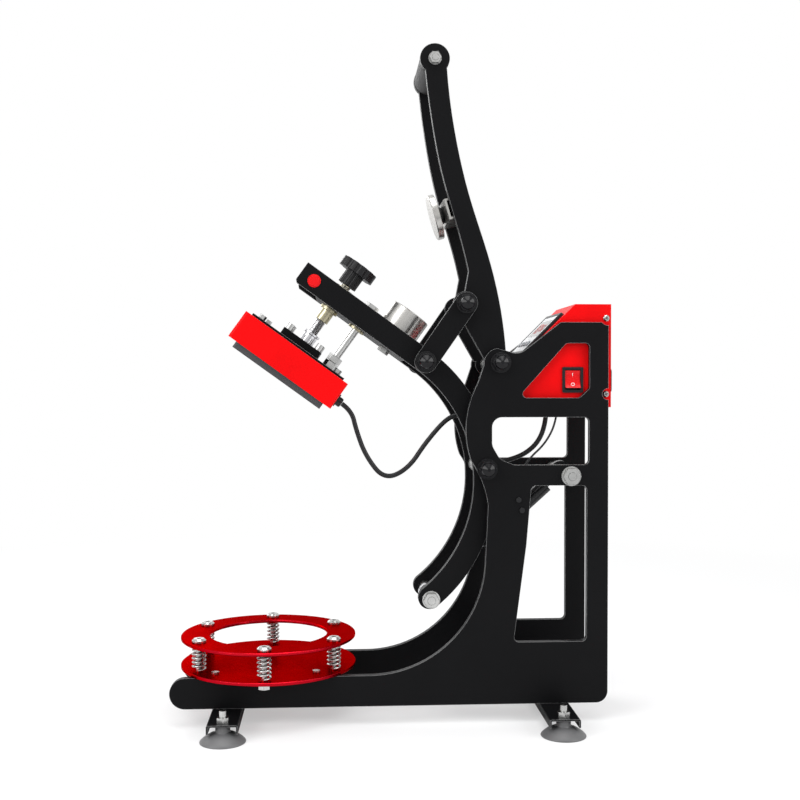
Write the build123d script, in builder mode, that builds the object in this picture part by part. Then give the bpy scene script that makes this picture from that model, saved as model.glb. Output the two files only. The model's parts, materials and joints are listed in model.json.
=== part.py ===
"""Ball heat press: a bench-top hand press with a tilting heated head.

Millimetres. X runs across the press, -Y is the front, +Z is up, and the origin is on the
surface that the suction cups stand on, in the middle of the footprint. The press is open:
the handle stands up and the head is tilted back.
"""

import math
import os

from build123d import *

os.makedirs("parts", exist_ok=True)

# Plates, in layers outwards from the middle plane
plate_thickness = 8.0
arm_inner_x = 38.5
layer_gap = 2.0
arm_outer_x = arm_inner_x + plate_thickness
handle_inner_x = arm_outer_x + layer_gap
handle_outer_x = handle_inner_x + plate_thickness
frame_inner_x = handle_outer_x + layer_gap
frame_outer_x = frame_inner_x + plate_thickness

# Pivots, as (Y, Z)
handle_pivot = (127.9, 434.0)
arm_pivot = (111.8, 306.0)
link_top = (86.8, 505.2)
link_foot = (37.9, 434.8)
strut_top = (213.7, 297.1)
strut_foot = (46.0, 145.4)

# Fits
running_gap = 0.05
face_gap = 0.3
thin_gap = 0.1

# Feet
channel_length = 264.0
channel_width = 36.0
channel_height = 10.0
channel_wall = 2.0
front_channel_y = -199.0
rear_channel_y = 194.0
cup_radius = 26.5
cup_height = 12.0
stud_radius = 4.0
stud_shank_radius = 3.5
stud_x = 120.0
stud_stand = 14.0

# Side plates
foot_bottom = cup_height + channel_height
foot_top = 59.0
foot_front_y = -249.0
back_arc_centre = (-29.0, 198.0)
frame_back_y = 259.0
frame_top = 482.7
lug_radius = 20.0
corner_radius = 14.0

# Ball stand
stand_y = -153.5
disc_radius = 108.0
disc_thickness = 4.0
ring_bore_radius = 72.5
ring_bottom = 93.5
ring_bolt_circle = 93.5
ring_bolt_count = 6
ring_bolt_radius = 4.0
ring_bolt_head_radius = 8.5
ring_bolt_head_height = 4.5
spring_wire = 2.0
spring_outer = 17.5
spring_turns = 5.5

# Arm: a straight beam that runs into a long bow
head_tilt = 35.8
bow_centre = (-70.0, 289.6)
bow_radius = 182.0
arm_width = 28.0
beam_front = -109.0
beam_middle = 82.3
beam_tube_front = -78.0
beam_tube_back = 54.0
beam_tube_wall = 4.0

# Head, along the beam (e) and square to it (n)
head_centre = -58.5
cover_size = 148.0
cover_bottom = -31.0
cover_top = 5.0
cover_wall = 1.5
platen_size = 127.0
platen_bottom = -39.0
platen_top = -13.0
platen_hollow_radius = 110.0
platen_hollow_edge = 60.0
top_plate_size = 133.0
top_plate_thickness = 3.0
block_length = 55.0
block_width = 60.0
block_thickness = 9.0
screw_along = -57.0
screw_radius = 6.5
rod_along = -15.6
rod_radius = 5.0
magnet_along = 27.5
magnet_radius = 26.5
magnet_height = 27.5
magnet_bolt_radius = 4.0
knob_bottom = 104.0
knob_hub_height = 18.0
knob_disc_height = 12.0
knob_radius = 24.0
knob_lobes = 12

# Handle
grip_centre = (49.4, 798.8)
grip_radius = 17.5
grip_tube_radius = 12.5
handle_tube_radius = 10.5
handle_travel = 74.0
keeper_radius = 28.5
keeper_thickness = 8.0
keeper_along = 31.0

# Link
link_width = 27.0

# Control box
box_half_width = frame_inner_x - 0.3
box_wall = 1.5
box_front = 146.0
box_back = 264.0
box_bottom = 380.0
box_top = 505.0
box_top_front = 220.0
controller_width = 96.0
controller_depth = 72.0
rocker_centre = (216.8, 413.2)
rocker_bezel_size = (25.5, 31.0)

# Gas strut
strut_cylinder_radius = 9.0
strut_cylinder_start = 25.0
strut_cylinder_length = 110.0
strut_rod_radius = 4.0
strut_foot_play = 3.5

# Cables
head_cable_radius = 3.0
switch_wire_radius = 1.25

# Pivot hardware
pivot_radius = 6.0
washer_radius = 12.5
washer_thickness = 2.0
cap_nut_flats = 19.0
cap_nut_height = 8.0
cap_nut_dome = 6.5
dome_steps = 2
tie_radius = 5.0
tie_tube_radius = 8.5


# Directions that the arm and head follow: e runs down the beam to the rear, n stands square to it
tilt = math.radians(head_tilt)
e_dir = (0.0, math.cos(tilt), -math.sin(tilt))
n_dir = (0.0, math.sin(tilt), math.cos(tilt))
beam_tangent_e = 72.8
beam_origin = (
    0.0,
    bow_centre[0] + (bow_radius - beam_middle) * n_dir[1] - beam_tangent_e * e_dir[1],
    bow_centre[1] + (bow_radius - beam_middle) * n_dir[2] - beam_tangent_e * e_dir[2],
)
head_plane = Plane(origin=beam_origin, x_dir=e_dir, z_dir=n_dir)
beam_low = beam_middle - arm_width / 2
beam_high = beam_middle + arm_width / 2


def beam_point(along, height):
    """The (Y, Z) of a point given along the beam and square to it."""
    return (
        beam_origin[1] + along * e_dir[1] + height * n_dir[1],
        beam_origin[2] + along * e_dir[2] + height * n_dir[2],
    )


def turned(point, centre, angle):
    """A (Y, Z) point turned about a pivot, positive from +Y to +Z."""
    swing = math.radians(angle)
    y = point[0] - centre[0]
    z = point[1] - centre[1]
    return (
        centre[0] + y * math.cos(swing) - z * math.sin(swing),
        centre[1] + y * math.sin(swing) + z * math.cos(swing),
    )


def round_bar(centre, radius, start, stop, mode=Mode.ADD):
    """A round bar across the press, from X = start to X = stop, in the open part."""
    with BuildSketch(Plane.YZ.offset(start)) as section:
        with Locations(centre):
            Circle(radius)
    extrude(section.sketch, amount=stop - start, mode=mode)


def plate(outline, start, stop, mode=Mode.ADD):
    """A flat plate of one side outline, from X = start to X = stop, in the open part."""
    with BuildSketch(Plane.YZ.offset(start)) as section:
        add(outline)
    extrude(section.sketch, amount=stop - start, mode=mode)


def hex_bar(centre, flats, start, stop):
    """A hexagon across the press, in the open part."""
    with BuildSketch(Plane.YZ.offset(start)) as section:
        with Locations(centre):
            RegularPolygon(flats / math.sqrt(3), 6)
    extrude(section.sketch, amount=stop - start)


def upright(base, place, radius, start, stop, mode=Mode.ADD):
    """A round post square to a plane, from one height to another, in the open part."""
    with BuildSketch(base.offset(start)) as section:
        with Locations(place):
            Circle(radius)
    extrude(section.sketch, amount=stop - start, mode=mode)


def upright_hex(base, place, flats, start, stop):
    """A hexagon square to a plane, in the open part."""
    with BuildSketch(base.offset(start)) as section:
        with Locations(place):
            RegularPolygon(flats / math.sqrt(3), 6)
    extrude(section.sketch, amount=stop - start)


def slab(base, place, size, start, stop, corner=0.0, mode=Mode.ADD):
    """A rectangle square to a plane, from one height to another, in the open part."""
    with BuildSketch(base.offset(start)) as section:
        with Locations(place):
            if corner > 0:
                RectangleRounded(size[0], size[1], corner)
            else:
                Rectangle(size[0], size[1])
    extrude(section.sketch, amount=stop - start, mode=mode)


def dome_radius(rise):
    """The radius of a cap nut's dome at a height above the nut."""
    base = cap_nut_flats * 0.46
    return base * math.sqrt(max(0.06, 1 - (rise / cap_nut_dome) ** 2))


def washer_and_cap_nut(centre, face, side):
    """A washer and a domed cap nut on the outer end of a pivot pin, in the open part."""
    seat = face + washer_thickness
    crown = seat + cap_nut_height
    round_bar(centre, washer_radius, side * face, side * (seat - thin_gap))
    hex_bar(centre, cap_nut_flats, side * seat, side * crown)
    for step in range(dome_steps):
        rise = cap_nut_dome * step / dome_steps
        next_rise = cap_nut_dome * (step + 1) / dome_steps
        low = dome_radius(rise)
        high = dome_radius(next_rise)
        with BuildSketch(Plane.YZ.offset(side * (crown + rise))) as lower:
            with Locations(centre):
                Circle(low)
        with BuildSketch(Plane.YZ.offset(side * (crown + next_rise))) as upper:
            with Locations(centre):
                Circle(high)
        loft([lower.sketch.face(), upper.sketch.face()])
    round_bar(centre, pivot_radius + running_gap, side * face, side * (crown + 0.5), Mode.SUBTRACT)


# Side plate outline, with its three windows
lug_left = (handle_pivot[0] - lug_radius, handle_pivot[1] - 3)
lug_top = (handle_pivot[0] - 4, handle_pivot[1] + lug_radius - 3)
bow_frame_radius = back_arc_centre[1] - foot_top
with BuildSketch() as frame_outline:
    with BuildLine():
        nose_top = (foot_front_y, foot_top)
        nose_low = (foot_front_y, foot_bottom)
        Line(nose_low, (frame_back_y, foot_bottom))
        Line((frame_back_y, foot_bottom), (frame_back_y, frame_top))
        Line((frame_back_y, frame_top), (201, frame_top))
        Line((201, frame_top), (157, 448.5))
        ThreePointArc((157, 448.5), (147, 445.2), (139, 447))
        Line((139, 447), lug_top)
        ThreePointArc(lug_top, (handle_pivot[0] - 17, handle_pivot[1] + 9), lug_left)
        Line(lug_left, (100.5, 409))
        ThreePointArc((100.5, 409), (88, 374), (92.5, 316))
        ThreePointArc((92.5, 316), (107.5, 286), (113, 262))
        Line((113, 262), (back_arc_centre[0] + bow_frame_radius, back_arc_centre[1]))
        ThreePointArc(
            (back_arc_centre[0] + bow_frame_radius, back_arc_centre[1]),
            (
                back_arc_centre[0] + bow_frame_radius * math.sqrt(0.5),
                back_arc_centre[1] - bow_frame_radius * math.sqrt(0.5),
            ),
            (back_arc_centre[0], foot_top),
        )
        Line((back_arc_centre[0], foot_top), nose_top)
        ThreePointArc(
            nose_top,
            (foot_front_y - (foot_top - foot_bottom) / 2, (foot_top + foot_bottom) / 2),
            nose_low,
        )
    make_face()
    lower_corner = frame_outline.vertices().sort_by_distance((frame_back_y, foot_bottom))[:1]
    fillet(lower_corner, corner_radius)
    with BuildLine():
        FilletPolyline(
            (148.5, 391.5),
            (224, 391.5),
            (236, 403),
            (236, 457.5),
            (207.7, 457.5),
            radius=(5, 5, 5, 5, 5),
            close=True,
        )
    make_face(mode=Mode.SUBTRACT)
    with BuildLine():
        FilletPolyline(
            (117.7, 368.2),
            (117.7, 334),
            (127, 318),
            (144, 310.8),
            (235.7, 310.8),
            (235.7, 368.2),
            radius=(12, 14, 16, 14, 6, 6),
            close=True,
        )
    make_face(mode=Mode.SUBTRACT)
    with BuildLine():
        FilletPolyline(
            (144, 96.8),
            (233, 96.8),
            (233, 285.8),
            (165.5, 285.8),
            (159.4, 214),
            radius=(6, 6, 6, 6, 60),
            close=True,
        )
    make_face(mode=Mode.SUBTRACT)
    with Locations((258, 488)):
        Circle(9, mode=Mode.SUBTRACT)
    with Locations((258.5, 396)):
        Circle(7, mode=Mode.SUBTRACT)
    with Locations(handle_pivot, arm_pivot):
        Circle(pivot_radius + running_gap, mode=Mode.SUBTRACT)
    with Locations(strut_top):
        Circle(tie_radius + running_gap, mode=Mode.SUBTRACT)
    with Locations((154, 256.2), (149.9, 268.8)):
        Circle(2.0, mode=Mode.SUBTRACT)

with BuildPart() as right_side_plate:
    plate(frame_outline.sketch, frame_inner_x, frame_outer_x)
right_side_plate.part.label = "right_side_plate"
export_step(right_side_plate.part, "parts/right_side_plate.step")

with BuildPart() as left_side_plate:
    plate(frame_outline.sketch, -frame_outer_x, -frame_inner_x)
left_side_plate.part.label = "left_side_plate"
export_step(left_side_plate.part, "parts/left_side_plate.step")

# Feet: two folded channels across the bottom, with suction cups on studs
with BuildPart() as foot_channels:
    for channel_y in (front_channel_y, rear_channel_y):
        with BuildSketch(Plane.YZ.offset(-channel_length / 2)) as section:
            with Locations((channel_y, cup_height + channel_height / 2)):
                Rectangle(channel_width, channel_height)
            with Locations((channel_y, cup_height + channel_height / 2 - channel_wall)):
                Rectangle(channel_width - 2 * channel_wall, channel_height, mode=Mode.SUBTRACT)
            fillet(section.vertices().group_by(Axis.Y)[-1], channel_wall)
        extrude(section.sketch, amount=channel_length)
        for side in (1, -1):
            upright(
                Plane.XY, (side * stud_x, channel_y), stud_shank_radius + running_gap,
                cup_height, foot_bottom, Mode.SUBTRACT,
            )
foot_channels.part.label = "foot_channels"
export_step(foot_channels.part, "parts/foot_channels.step")

foot_places = [(x, y) for x in (-stud_x, stud_x) for y in (front_channel_y, rear_channel_y)]
web_bottom = foot_bottom - channel_wall
stud_bottom = 10.0
stud_nut_height = 6.5
with BuildPart() as suction_cups:
    for place in foot_places:
        with BuildSketch(Plane.XZ.offset(-place[1])) as profile:
            with BuildLine():
                Polyline(
                    (place[0], 5.5),
                    (place[0] + 12, 4.0),
                    (place[0] + cup_radius - 1.5, 0),
                    (place[0] + cup_radius, 0),
                    (place[0] + cup_radius, 1.2),
                    (place[0] + 18, 8.5),
                    (place[0] + 8.5, 11.5),
                    (place[0] + 8.5, web_bottom),
                    (place[0], web_bottom),
                    close=True,
                )
            make_face()
        revolve(profile.sketch, axis=Axis((place[0], place[1], 0), (0, 0, 1)))
        upright(
            Plane.XY, place, stud_shank_radius + running_gap, stud_bottom, web_bottom, Mode.SUBTRACT
        )
suction_cups.part.label = "suction_cups"
export_step(suction_cups.part, "parts/suction_cups.step")

with BuildPart() as foot_studs:
    for place in foot_places:
        upright(Plane.XY, place, stud_shank_radius, stud_bottom, foot_bottom)
        upright_hex(Plane.XY, place, 13, foot_bottom, foot_bottom + stud_nut_height)
        upright(Plane.XY, place, stud_radius, foot_bottom, foot_bottom + stud_stand)
foot_studs.part.label = "foot_studs"
export_step(foot_studs.part, "parts/foot_studs.step")


# Tie bolt across the back of the frame, which also carries the gas strut
with BuildPart() as tie_bolt:
    round_bar(strut_top, tie_radius, -frame_outer_x - 9, frame_outer_x + 9)
    for side in (1, -1):
        hex_bar(strut_top, 19, side * (frame_outer_x + 1.5), side * (frame_outer_x + 8))
        round_bar(strut_top, 12, side * frame_outer_x, side * (frame_outer_x + 1.5))
tie_bolt.part.label = "tie_bolt"
export_step(tie_bolt.part, "parts/tie_bolt.step")


# Ball stand: a fixed disc on the feet, and a ring on six springs above it
bolt_places = [
    (
        ring_bolt_circle * math.cos(math.radians(360 * turn / ring_bolt_count)),
        stand_y + ring_bolt_circle * math.sin(math.radians(360 * turn / ring_bolt_count)),
    )
    for turn in range(ring_bolt_count)
]
disc_top = foot_top + disc_thickness
ring_top = ring_bottom + disc_thickness
disc_screw_places = [(x, stand_y + y) for x in (-62.5, 62.5) for y in (-60, 60)]
with BuildPart() as ball_base_disc:
    upright(Plane.XY, (0, stand_y), disc_radius, foot_top, disc_top)
    chamfer(ball_base_disc.edges().filter_by(GeomType.CIRCLE), 0.6)
    for place in bolt_places:
        upright(Plane.XY, place, ring_bolt_radius + running_gap, foot_top, disc_top, Mode.SUBTRACT)
    for place in disc_screw_places:
        upright(Plane.XY, place, 2.5 + running_gap, foot_top, disc_top, Mode.SUBTRACT)
ball_base_disc.part.label = "ball_base_disc"
export_step(ball_base_disc.part, "parts/ball_base_disc.step")

bolt_nut_height = 6.5
head_low = ring_top + thin_gap
with BuildPart() as stand_bolts:
    for place in bolt_places:
        upright(Plane.XY, place, ring_bolt_radius, foot_top - bolt_nut_height - 1, head_low + 1)
        upright_hex(Plane.XY, place, 13, foot_top - bolt_nut_height, foot_top)
        upright(
            Plane.XY, place, ring_bolt_head_radius, head_low, head_low + ring_bolt_head_height
        )
    crowns = stand_bolts.edges().filter_by(GeomType.CIRCLE).group_by(Axis.Z)[-1]
    chamfer(crowns, 2.2)
    for place in bolt_places:
        upright_hex_top = head_low + ring_bolt_head_height
        with BuildSketch(Plane.XY.offset(upright_hex_top - 2.2)) as socket:
            with Locations(place):
                RegularPolygon(5 / math.sqrt(3), 6)
        extrude(socket.sketch, amount=3, mode=Mode.SUBTRACT)
    for place in disc_screw_places:
        upright(Plane.XY, place, 2.5, foot_top, disc_top + 1)
        upright(Plane.XY, place, 4.5, disc_top, disc_top + 2.6)
stand_bolts.part.label = "stand_bolts"
export_step(stand_bolts.part, "parts/stand_bolts.step")

with BuildPart() as ball_support_ring:
    upright(Plane.XY, (0, stand_y), disc_radius, ring_bottom, ring_top)
    upright(Plane.XY, (0, stand_y), ring_bore_radius, ring_bottom, ring_top, Mode.SUBTRACT)
    chamfer(ball_support_ring.edges().filter_by(GeomType.CIRCLE), 0.8)
    for place in bolt_places:
        upright(Plane.XY, place, ring_bolt_radius + 0.3, ring_bottom, ring_top, Mode.SUBTRACT)
ball_support_ring.part.label = "ball_support_ring"
export_step(ball_support_ring.part, "parts/ball_support_ring.step")


# Compression springs: one wound wire, each half turn made of two arcs that meet in line
coil_radius = (spring_outer - spring_wire) / 2
spring_bottom = disc_top + thin_gap
spring_height = ring_bottom - thin_gap - spring_bottom
coil_rise = spring_height - spring_wire


def coil_point(turns):
    """A point on the middle of the wire, counted in turns from the bottom."""
    angle = 2 * math.pi * turns
    return Vector(
        coil_radius * math.cos(angle),
        coil_radius * math.sin(angle),
        spring_wire / 2 + coil_rise * turns / spring_turns,
    )


def coil_heading(turns):
    """The direction of the wire at that point."""
    angle = 2 * math.pi * turns
    climb = coil_rise / (spring_turns * 2 * math.pi)
    return Vector(
        -coil_radius * math.sin(angle), coil_radius * math.cos(angle), climb
    ).normalized()


def biarc_joint(start, start_heading, end, end_heading):
    """The point where two equal-armed arcs between two headings meet."""
    across = end - start
    both = start_heading + end_heading
    square = 2 * (1 - start_heading.dot(end_heading))
    along = across.dot(both)
    arm = (math.sqrt(along**2 + square * across.dot(across)) - along) / square
    return (start + start_heading * arm + end - end_heading * arm) * 0.5


with BuildLine() as coil_line:
    for half in range(round(spring_turns * 2)):
        first = coil_point(half / 2)
        last = coil_point((half + 1) / 2)
        middle = biarc_joint(first, coil_heading(half / 2), last, coil_heading((half + 1) / 2))
        opening = TangentArc(first, middle, tangent=coil_heading(half / 2))
        TangentArc(middle, last, tangent=opening % 1)

with BuildPart() as spring_form:
    with BuildSketch(Plane(origin=coil_point(0), z_dir=coil_heading(0))) as wire:
        RegularPolygon(spring_wire / 2, 5)
    sweep(wire.sketch, path=coil_line.wire())

coil_samples = [coil_line.wire() @ (step / 400) for step in range(401)]
samples_per_turn = 400 / spring_turns
least_gap = min(
    (coil_samples[i] - coil_samples[j]).length - spring_wire
    for i in range(0, 401, 4)
    for j in range(i + round(samples_per_turn / 2), 401)
)
print(f"spring: {spring_turns} turns, least gap between turns {least_gap:.2f}")

with BuildPart() as ring_springs:
    with Locations(*[(x, y, spring_bottom) for x, y in bolt_places]):
        add(spring_form.part)
ring_springs.part.label = "ring_springs"
export_step(ring_springs.part, "parts/ring_springs.step")


# Arm plates: the straight beam runs into the bow, which ends round the strut pin
tail_angle = math.atan2(strut_foot[1] - bow_centre[1], strut_foot[0] - bow_centre[0])
start_angle = math.radians(90) - tilt
half_arm = arm_width / 2


def bow_point(radius, angle):
    """A (Y, Z) on the bow, at a radius and an angle about its centre."""
    return (bow_centre[0] + radius * math.cos(angle), bow_centre[1] + radius * math.sin(angle))


bow_half = (tail_angle + start_angle) / 2
outer_bow = bow_radius + half_arm
inner_bow = bow_radius - half_arm
with BuildSketch() as arm_outline:
    with BuildLine():
        front_low = beam_point(beam_front, beam_low)
        front_high = beam_point(beam_front, beam_high)
        Line(front_low, front_high)
        Line(front_high, bow_point(outer_bow, start_angle))
        ThreePointArc(
            bow_point(outer_bow, start_angle),
            bow_point(outer_bow, bow_half),
            bow_point(outer_bow, tail_angle),
        )
        Line(bow_point(outer_bow, tail_angle), bow_point(inner_bow, tail_angle))
        ThreePointArc(
            bow_point(inner_bow, tail_angle),
            bow_point(inner_bow, bow_half),
            bow_point(inner_bow, start_angle),
        )
        Line(bow_point(inner_bow, start_angle), front_low)
    make_face()
    with Locations(bow_point(bow_radius, tail_angle)):
        Circle(half_arm)
    chamfer(arm_outline.vertices().sort_by_distance(front_low)[:1], 3)
    with Locations(arm_pivot):
        Circle(pivot_radius + running_gap, mode=Mode.SUBTRACT)
    with Locations(strut_foot):
        Circle(tie_radius + running_gap, mode=Mode.SUBTRACT)

with BuildPart() as arm_plates:
    for side in (1, -1):
        plate(arm_outline.sketch, side * arm_inner_x, side * arm_outer_x)
        round_bar(link_foot, 9, side * arm_outer_x, side * (frame_inner_x - face_gap))
arm_plates.part.label = "arm_plates"
export_step(arm_plates.part, "parts/arm_plates.step")

tube_middle = (beam_tube_front + beam_tube_back) / 2
tube_length = beam_tube_back - beam_tube_front
tube_low = beam_low + thin_gap
tube_high = beam_high - thin_gap
bush_outer = 8.5
guide_bush_outer = 8.0
with BuildPart() as arm_cross_tube:
    slab(head_plane, (tube_middle, 0), (tube_length, 2 * arm_inner_x), tube_low, tube_high)
    slab(
        head_plane,
        (tube_middle, 0),
        (tube_length, 2 * (arm_inner_x - beam_tube_wall)),
        tube_low + beam_tube_wall,
        tube_high - beam_tube_wall,
        mode=Mode.SUBTRACT,
    )
    upright(head_plane, (screw_along, 0), bush_outer + running_gap, 60, 100, Mode.SUBTRACT)
    upright(head_plane, (rod_along, 0), guide_bush_outer + running_gap, 60, 100, Mode.SUBTRACT)
    upright(head_plane, (magnet_along, 0), magnet_bolt_radius + running_gap, 60, 100, Mode.SUBTRACT)
arm_cross_tube.part.label = "arm_cross_tube"
export_step(arm_cross_tube.part, "parts/arm_cross_tube.step")

bush_low = 50.0
with BuildPart() as arm_bushes:
    upright(head_plane, (screw_along, 0), bush_outer, bush_low, beam_high + 3)
    upright(head_plane, (screw_along, 0), 13, beam_high, beam_high + 3)
    upright(head_plane, (screw_along, 0), 12, tube_low - 4, tube_low)
    upright(head_plane, (rod_along, 0), guide_bush_outer, beam_low - 3, beam_high)
    upright(head_plane, (rod_along, 0), 11, beam_low - 3, tube_low)
    for along, bore in ((screw_along, screw_radius), (rod_along, rod_radius)):
        upright(
            head_plane, (along, 0), bore + running_gap, bush_low - 1, beam_high + 4, Mode.SUBTRACT
        )
arm_bushes.part.label = "arm_bushes"
export_step(arm_bushes.part, "parts/arm_bushes.step")

magnet_top = beam_high + magnet_height
with BuildPart() as electromagnet:
    upright(head_plane, (magnet_along, 0), magnet_radius, beam_high, magnet_top)
    chamfer(electromagnet.edges().filter_by(GeomType.CIRCLE).sort_by(Axis.Z)[-1:], 1.0)
    with BuildSketch(head_plane.offset(magnet_top - 1.0)) as groove:
        with Locations((magnet_along, 0)):
            Circle(magnet_radius - 4)
            Circle(magnet_radius - 12, mode=Mode.SUBTRACT)
    extrude(groove.sketch, amount=2, mode=Mode.SUBTRACT)
    upright(
        head_plane, (magnet_along, 0), magnet_bolt_radius + running_gap,
        beam_high, beam_high + 12, Mode.SUBTRACT,
    )
electromagnet.part.label = "electromagnet"
export_step(electromagnet.part, "parts/electromagnet.step")

cap_place = beam_point(-90, beam_middle)
with BuildPart() as arm_end_caps:
    for side in (1, -1):
        round_bar(cap_place, 8, side * arm_outer_x, side * (arm_outer_x + 1.2))
        round_bar(cap_place, 6.5, side * (arm_outer_x + 1.2), side * (arm_outer_x + 1.8))
arm_end_caps.part.label = "arm_end_caps"
export_step(arm_end_caps.part, "parts/arm_end_caps.step")

arm_tube_radius = 11.0
strut_eye_half = 5.0
with BuildPart() as arm_spacers:
    round_bar(arm_pivot, arm_tube_radius, -arm_inner_x, arm_inner_x)
    round_bar(arm_pivot, pivot_radius + running_gap, -arm_inner_x, arm_inner_x, Mode.SUBTRACT)
    for side in (1, -1):
        near = side * (strut_eye_half + 1)
        far = side * arm_inner_x
        round_bar(strut_foot, 9, near, far)
        round_bar(strut_foot, tie_radius + running_gap, near, far, Mode.SUBTRACT)
arm_spacers.part.label = "arm_spacers"
export_step(arm_spacers.part, "parts/arm_spacers.step")

with BuildPart() as arm_bolts:
    round_bar(strut_foot, tie_radius, -arm_outer_x - 8.5, arm_outer_x + 8.5)
    for side in (1, -1):
        round_bar(strut_foot, 11, side * arm_outer_x, side * (arm_outer_x + 1.5))
        hex_bar(strut_foot, 17, side * (arm_outer_x + 1.5), side * (arm_outer_x + 8))
    upright(head_plane, (magnet_along, 0), magnet_bolt_radius, 63, beam_high + 11)
    upright_hex(head_plane, (magnet_along, 0), 13, tube_low - 6, tube_low)
arm_bolts.part.label = "arm_bolts"
export_step(arm_bolts.part, "parts/arm_bolts.step")


# Pivot shafts through the frame, with washers and cap nuts
shaft_end = frame_outer_x + washer_thickness + cap_nut_height
with BuildPart() as pivot_bolts:
    for centre in (handle_pivot, arm_pivot):
        for side in (1, -1):
            washer_and_cap_nut(centre, frame_outer_x, side)
        round_bar(centre, pivot_radius, -shaft_end, shaft_end)
pivot_bolts.part.label = "pivot_bolts"
export_step(pivot_bolts.part, "parts/pivot_bolts.step")

with BuildPart() as frame_spacers:
    for side in (1, -1):
        near = side * (arm_outer_x + thin_gap)
        far = side * frame_inner_x
        round_bar(arm_pivot, 11, near, far)
        round_bar(handle_pivot, 11, side * (handle_outer_x + thin_gap), far)
        for centre in (handle_pivot, arm_pivot):
            round_bar(centre, pivot_radius + running_gap, near, far, Mode.SUBTRACT)
    round_bar(strut_top, tie_tube_radius, -frame_inner_x, frame_inner_x)
    round_bar(strut_top, tie_radius + running_gap, -frame_inner_x, frame_inner_x, Mode.SUBTRACT)
frame_spacers.part.label = "frame_spacers"
export_step(frame_spacers.part, "parts/frame_spacers.step")


# Handle: two curved levers, a grip, and the keeper that meets the magnet when it is closed
with BuildSketch() as handle_outline:
    with BuildLine():
        Spline((38, 785), (45.7, 726), (59, 658), (81.9, 579), (90.3, 544))
        Line((90.3, 544), (86, 520))
        Line((86, 520), (76, 500))
        Line((76, 500), (88, 475.5))
        Line((88, 475.5), (110, 437))
        Line((110, 437), (136, 440))
        Spline((136, 440), (133.5, 470), (114.9, 560), (92.5, 630), (74.6, 705), (64, 787))
        Line((64, 787), (38, 785))
    make_face()
    with Locations(grip_centre):
        Circle(18)
    with Locations(link_top):
        Circle(15)
    with Locations(handle_pivot):
        Circle(16)
    with Locations(handle_pivot, link_top):
        Circle(pivot_radius + running_gap, mode=Mode.SUBTRACT)
    with Locations(grip_centre):
        Circle(4 + running_gap, mode=Mode.SUBTRACT)
with BuildPart() as handle_plates:
    for side in (1, -1):
        plate(handle_outline.sketch, side * handle_inner_x, side * handle_outer_x)
handle_plates.part.label = "handle_plates"
export_step(handle_plates.part, "parts/handle_plates.step")

with BuildPart() as handle_tubes:
    for centre, outer, inner in (
        (grip_centre, grip_tube_radius, 4),
        (handle_pivot, handle_tube_radius, pivot_radius),
    ):
        round_bar(centre, outer, -handle_inner_x, handle_inner_x)
        round_bar(
            centre, inner + running_gap, -handle_inner_x, handle_inner_x, Mode.SUBTRACT
        )
handle_tubes.part.label = "handle_tubes"
export_step(handle_tubes.part, "parts/handle_tubes.step")

with BuildPart() as grip_sleeve:
    round_bar(grip_centre, grip_radius, -handle_inner_x + 0.5, handle_inner_x - 0.5)
    round_bar(
        grip_centre, grip_tube_radius + running_gap,
        -handle_inner_x + 0.5, handle_inner_x - 0.5, Mode.SUBTRACT,
    )
grip_sleeve.part.label = "grip_sleeve"
export_step(grip_sleeve.part, "parts/grip_sleeve.step")

with BuildPart() as grip_bolt:
    round_bar(grip_centre, 4, -handle_outer_x - 7, handle_outer_x + 7)
    for side in (1, -1):
        hex_bar(grip_centre, 13, side * (handle_outer_x + 1.2), side * (handle_outer_x + 6.5))
        round_bar(grip_centre, 8, side * handle_outer_x, side * (handle_outer_x + 1.2))
grip_bolt.part.label = "grip_bolt"
export_step(grip_bolt.part, "parts/grip_bolt.step")

with BuildPart() as link_top_bolts:
    for side in (1, -1):
        washer_and_cap_nut(link_top, frame_outer_x, side)
        round_bar(link_top, pivot_radius, side * handle_inner_x, side * shaft_end)
        round_bar(link_top, 11, side * handle_outer_x, side * (frame_inner_x - thin_gap))
link_top_bolts.part.label = "link_top_bolts"
export_step(link_top_bolts.part, "parts/link_top_bolts.step")

closed_beam_origin = turned((beam_origin[1], beam_origin[2]), arm_pivot, head_tilt)
keeper_closed = (closed_beam_origin[0] + keeper_along, closed_beam_origin[1] + magnet_top + 0.2)
keeper_face = turned(keeper_closed, handle_pivot, -handle_travel)
keeper_swing = math.radians(handle_travel)
keeper_plane = Plane(
    origin=(0, keeper_face[0], keeper_face[1]),
    x_dir=(1, 0, 0),
    z_dir=(0, math.sin(keeper_swing), math.cos(keeper_swing)),
)
bracket_low = 14.0
bracket_high = 42.0
with BuildPart() as keeper_plate:
    upright(keeper_plane, (0, 0), keeper_radius, 0, keeper_thickness)
    chamfer(keeper_plate.edges().filter_by(GeomType.CIRCLE), 0.8)
    upright(keeper_plane, (0, 0), 4 + running_gap, 1.5, keeper_thickness, Mode.SUBTRACT)
keeper_plate.part.label = "keeper_plate"
export_step(keeper_plate.part, "parts/keeper_plate.step")

with BuildPart() as keeper_cushion:
    upright(keeper_plane, (0, 0), 11, keeper_thickness, bracket_low)
    upright(keeper_plane, (0, 0), 4 + running_gap, keeper_thickness, bracket_low, Mode.SUBTRACT)
keeper_cushion.part.label = "keeper_cushion"
export_step(keeper_cushion.part, "parts/keeper_cushion.step")

with BuildPart() as keeper_bracket:
    slab(keeper_plane, (0, 0), (2 * handle_inner_x, 26), bracket_low, bracket_high)
    slab(
        keeper_plane, (0, 0), (2 * handle_inner_x, 20),
        bracket_low + 3, bracket_high - 3, mode=Mode.SUBTRACT,
    )
    upright(keeper_plane, (0, 0), 4 + running_gap, bracket_low, bracket_high, Mode.SUBTRACT)
keeper_bracket.part.label = "keeper_bracket"
export_step(keeper_bracket.part, "parts/keeper_bracket.step")

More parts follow.
